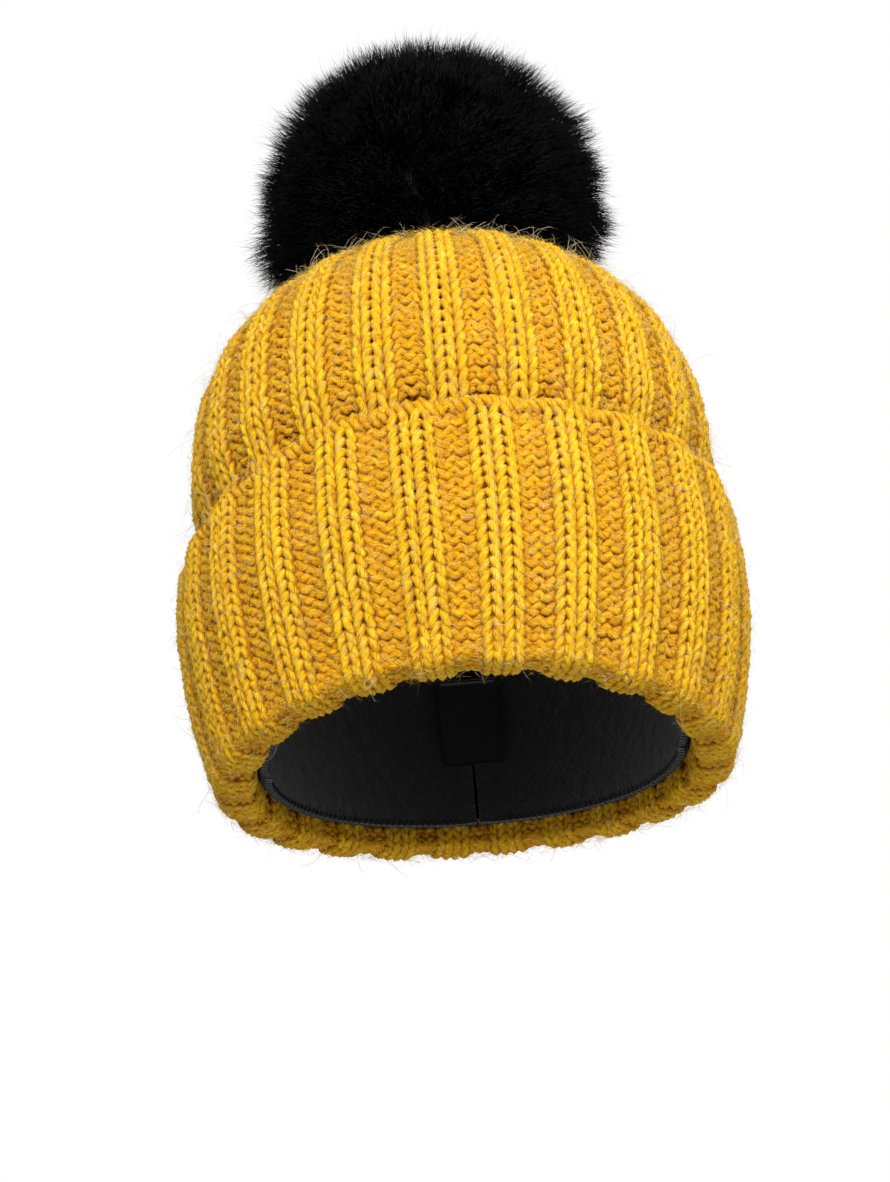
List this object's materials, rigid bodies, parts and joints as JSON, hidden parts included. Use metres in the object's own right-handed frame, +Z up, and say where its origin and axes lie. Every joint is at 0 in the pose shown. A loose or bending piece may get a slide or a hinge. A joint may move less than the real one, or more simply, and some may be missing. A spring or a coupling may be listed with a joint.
{
  "type": "knit beanie",
  "caption": "Chunky rib-knit beanie with a turned-up cuff, a fleece lining and a fur pompom held on the crown by a press stud.",
  "frame": {"origin": "middle of the brim at its lowest level, under the middle of the hat", "axes": "+Z up along the hat, out of the crown; -Y is the wearer's front; +X is the wearer's left"},
  "size_m": [0.215, 0.2472, 0.3206],
  "materials": {
    "wool": "plied mustard wool in 2x2 rib, heathered, slightly hairy",
    "fleece": "black brushed fleece",
    "fur": "dense black fur with a soft sheen",
    "wadding": "white fibre wadding",
    "felt": "pressed black felt",
    "leatherette": "black leatherette",
    "nickel": "nickel-plated brass, satin",
    "thread": "black sewing thread",
    "satin_label": "black woven satin, blank"
  },
  "bodies": {
    "hat": {"knit_crown": "wool", "turned_up_cuff": "wool", "cuff_bind_off": "wool", "lining_gore_1": "fleece", "lining_gore_2": "fleece", "lining_gore_3": "fleece", "lining_gore_4": "fleece", "lining_hem_thread": "thread", "label_stitch": "thread"},
    "gathered_top": {"crown_gather_yarn": "wool"},
    "stud": {"snap_stud": "nickel", "stud_felt_washer": "felt", "stud_back_cap": "nickel"},
    "spring_ring": {"snap_spring_ring": "nickel"},
    "pompom": {"snap_socket": "nickel", "socket_rivet_cap": "nickel", "pompom_base_disc": "leatherette", "fur_pelt": "fur", "pompom_wadding": "wadding", "pelt_draw_thread": "thread"},
    "label": {"care_label": "satin_label"}
  },
  "joints": [
    {"name": "pompom_nod", "type": "hinge", "parent": "hat", "child": "gathered_top", "pos_m": [0, 0.00746, 0.19165], "axis": [1, 0, 0], "range_deg": [-8, 28], "stiffness_Nm_per_rad": 0.45, "springref_deg": 1.83},
    {"name": "pompom_sway", "type": "hinge", "parent": "gathered_top", "child": "stud", "pos_m": [0, 0.00746, 0.19165], "axis": [0, 0.9272, -0.3746], "range_deg": [-14, 14], "stiffness_Nm_per_rad": 0.45},
    {"name": "pompom_unsnap", "type": "slide", "parent": "stud", "child": "spring_ring", "axis": [0, 0.3746, 0.9272], "range_m": [0, 0.012]},
    {"name": "pompom_spin", "type": "hinge", "parent": "spring_ring", "child": "pompom", "pos_m": [0, 0.00746, 0.19165], "axis": [0, 0.3746, 0.9272], "continuous": true},
    {"name": "label_lift", "type": "hinge", "parent": "hat", "child": "label", "pos_m": [0, 0.09251, 0.072], "axis": [-1, 0, 0], "range_deg": [0, 70]}
  ]
}
